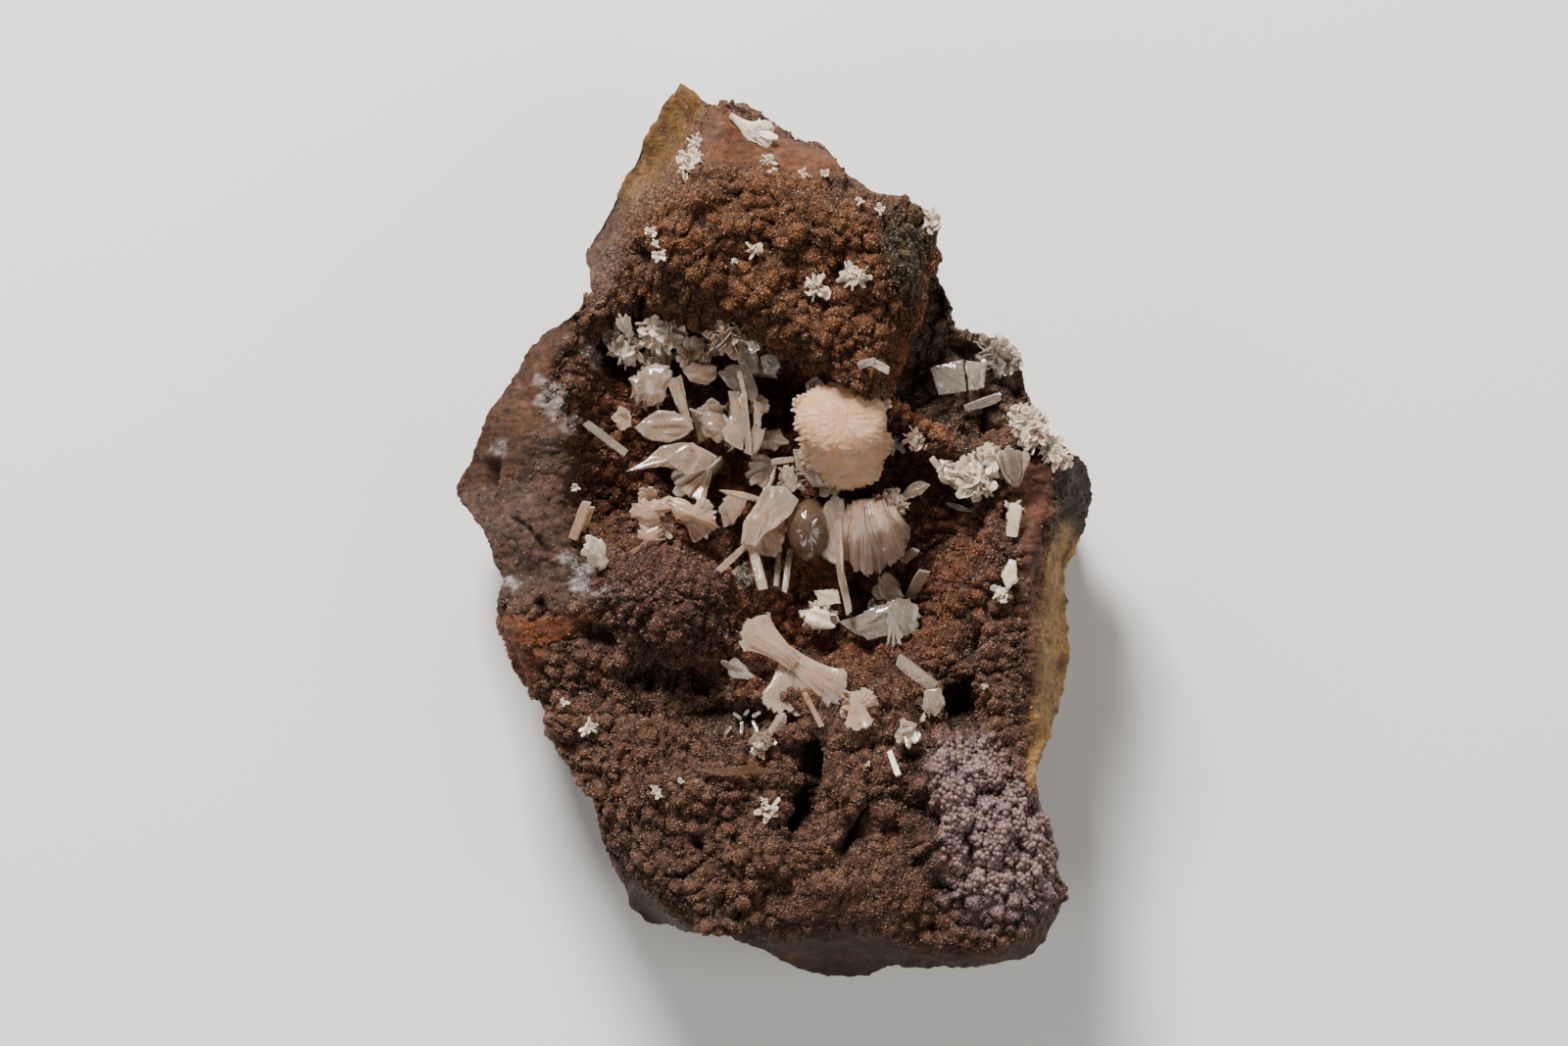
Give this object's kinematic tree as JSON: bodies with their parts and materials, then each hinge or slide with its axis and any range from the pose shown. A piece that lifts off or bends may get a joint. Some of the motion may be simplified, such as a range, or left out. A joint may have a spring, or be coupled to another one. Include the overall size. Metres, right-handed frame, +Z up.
{
  "type": "brandtite mineral specimen",
  "caption": "Brandtite specimen: cream blade balls, bow-ties and plates in a pocket of druse-covered brown matrix rock, lying face up on a flat broken back.",
  "frame": {"origin": "under the middle of the specimen, on the surface that its flat back lies on", "axes": "+Z up out of the crystal face, +Y towards the pointed end, +X to the right seen from above"},
  "size_m": [0.0456, 0.0632, 0.0211],
  "materials": {
    "matrix": "rough drusy and broken rock",
    "peach_crystal": "translucent, sparkling",
    "cream_crystal": "translucent, glassy faces",
    "pale_crystal": "nearly clear, glassy faces",
    "clear_crystal": "clear, glassy faces",
    "white_crystal": "sugary white",
    "amber_crystal": "clear brown, glassy"
  },
  "bodies": {
    "root": {"matrix_rock": "matrix", "main_ball_cluster": "peach_crystal", "curved_spray": "cream_crystal", "spear_crystal": "pale_crystal", "lens_and_disc": "cream_crystal", "upper_left_rosettes": "white_crystal", "fan_rosette": "cream_crystal", "stacked_plates": "clear_crystal", "bladed_sheaf": "pale_crystal", "left_rod": "clear_crystal", "pink_tablet": "pale_crystal", "ledge_flakes": "clear_crystal", "recess_block": "clear_crystal", "right_cluster": "white_crystal", "right_fan": "pale_crystal", "right_edge_crust": "white_crystal", "rusty_ring": "cream_crystal", "lens_by_ball": "pale_crystal", "white_slab": "white_crystal", "right_rhomb": "white_crystal", "bow_tie": "cream_crystal", "small_rosette": "cream_crystal", "tilted_prism": "pale_crystal", "small_fan": "white_crystal", "white_stack": "white_crystal", "clear_plates": "clear_crystal", "ball_foot_plates": "pale_crystal", "right_tablet": "pale_crystal", "left_white_plate": "white_crystal", "left_tablet": "cream_crystal", "lower_needle": "amber_crystal", "thin_lens": "amber_crystal", "stem_cluster": "pale_crystal", "small_prism": "white_crystal", "lower_star": "white_crystal", "pocket_lip_plate": "clear_crystal", "bulge_star": "white_crystal", "top_crust": "white_crystal", "upper_left_crust": "white_crystal", "corner_crust": "white_crystal"}
  },
  "joints": []
}
